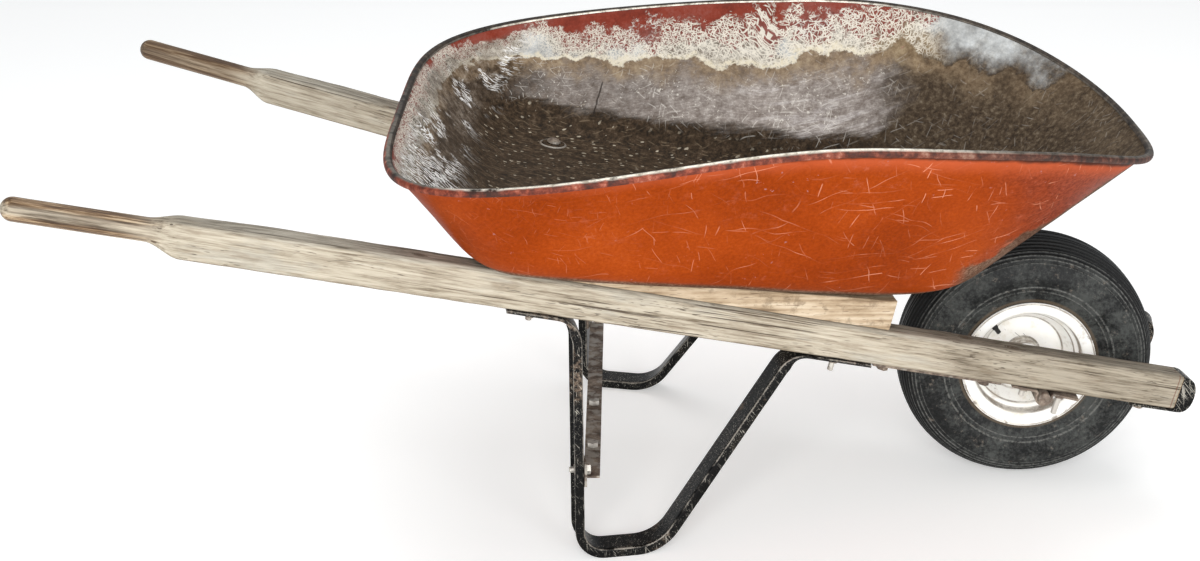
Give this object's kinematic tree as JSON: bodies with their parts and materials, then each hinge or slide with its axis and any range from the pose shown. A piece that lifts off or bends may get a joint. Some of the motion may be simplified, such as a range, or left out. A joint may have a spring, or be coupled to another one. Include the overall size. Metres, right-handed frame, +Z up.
{
  "type": "wheelbarrow",
  "caption": "Worn wheelbarrow: rounded steel tray with rolled rim, wooden handles, bent channel legs and an air-filled front wheel that spins.",
  "frame": {"origin": "middle of the outer box, on the ground", "axes": "+X forwards to the wheel, +Y to the left of someone holding the grips, +Z up"},
  "size_m": [1.4432, 0.7718, 0.5697],
  "materials": {
    "tray_paint": "orange-red paint, scratched, rusted and worn to bare sheet inside",
    "handle_wood": "weathered grey-tan hardwood with open grain and worn brown grips",
    "wedge_wood": "lighter weathered softwood",
    "black_paint": "black paint, scuffed, rusty at bends and edges",
    "rusty_steel": "brown rust over dull steel",
    "worn_steel": "dull zinc with rust in the threads",
    "wheel_paint": "cream paint, chipped and stained",
    "tyre_rubber": "dusty black rubber",
    "tube_rubber": "plain black rubber"
  },
  "bodies": {
    "frame": {"tray": "tray_paint", "tray_washer_right": "rusty_steel", "tray_washer_left": "rusty_steel", "handle_right": "handle_wood", "riser_wedge_right": "wedge_wood", "leg_right": "black_paint", "tray_bolt_right": "worn_steel", "tray_nut_right": "rusty_steel", "leg_stud_right": "worn_steel", "leg_nut_right": "rusty_steel", "underside_strap_right": "rusty_steel", "strap_screw_front_right": "rusty_steel", "strap_screw_rear_right": "rusty_steel", "nose_shoe_right": "black_paint", "shoe_screw_right": "rusty_steel", "brace_bolt_right": "rusty_steel", "brace_nut_right": "rusty_steel", "axle_bracket_right": "rusty_steel", "bracket_stud_rear_right": "worn_steel", "bracket_nut_rear_right": "rusty_steel", "bracket_stud_front_right": "worn_steel", "bracket_nut_front_right": "rusty_steel", "brace_strap_right": "rusty_steel", "handle_left": "handle_wood", "riser_wedge_left": "wedge_wood", "leg_left": "black_paint", "tray_bolt_left": "worn_steel", "tray_nut_left": "rusty_steel", "leg_stud_left": "worn_steel", "leg_nut_left": "rusty_steel", "underside_strap_left": "rusty_steel", "strap_screw_front_left": "rusty_steel", "strap_screw_rear_left": "rusty_steel", "nose_shoe_left": "black_paint", "shoe_screw_left": "rusty_steel", "brace_bolt_left": "rusty_steel", "brace_nut_left": "rusty_steel", "axle_bracket_left": "rusty_steel", "bracket_stud_rear_left": "worn_steel", "bracket_nut_rear_left": "rusty_steel", "bracket_stud_front_left": "worn_steel", "bracket_nut_front_left": "rusty_steel", "brace_strap_left": "rusty_steel", "lap_bolt_inner": "rusty_steel", "lap_nut_inner": "rusty_steel", "lap_bolt_outer": "rusty_steel", "lap_nut_outer": "rusty_steel", "axle": "rusty_steel", "axle_spacer_right": "rusty_steel", "axle_spacer_left": "rusty_steel"},
    "wheel": {"tyre": "tyre_rubber", "inner_tube": "tube_rubber", "hub": "wheel_paint", "rim_half_left": "wheel_paint", "rim_half_right": "wheel_paint", "valve_stem": "tube_rubber", "bearing_right": "worn_steel", "bearing_left": "worn_steel"}
  },
  "joints": [
    {"name": "wheel_spin", "type": "hinge", "parent": "frame", "child": "wheel", "pos_m": [0.51824, 0, 0.168], "axis": [0, 1, 0], "continuous": true}
  ]
}
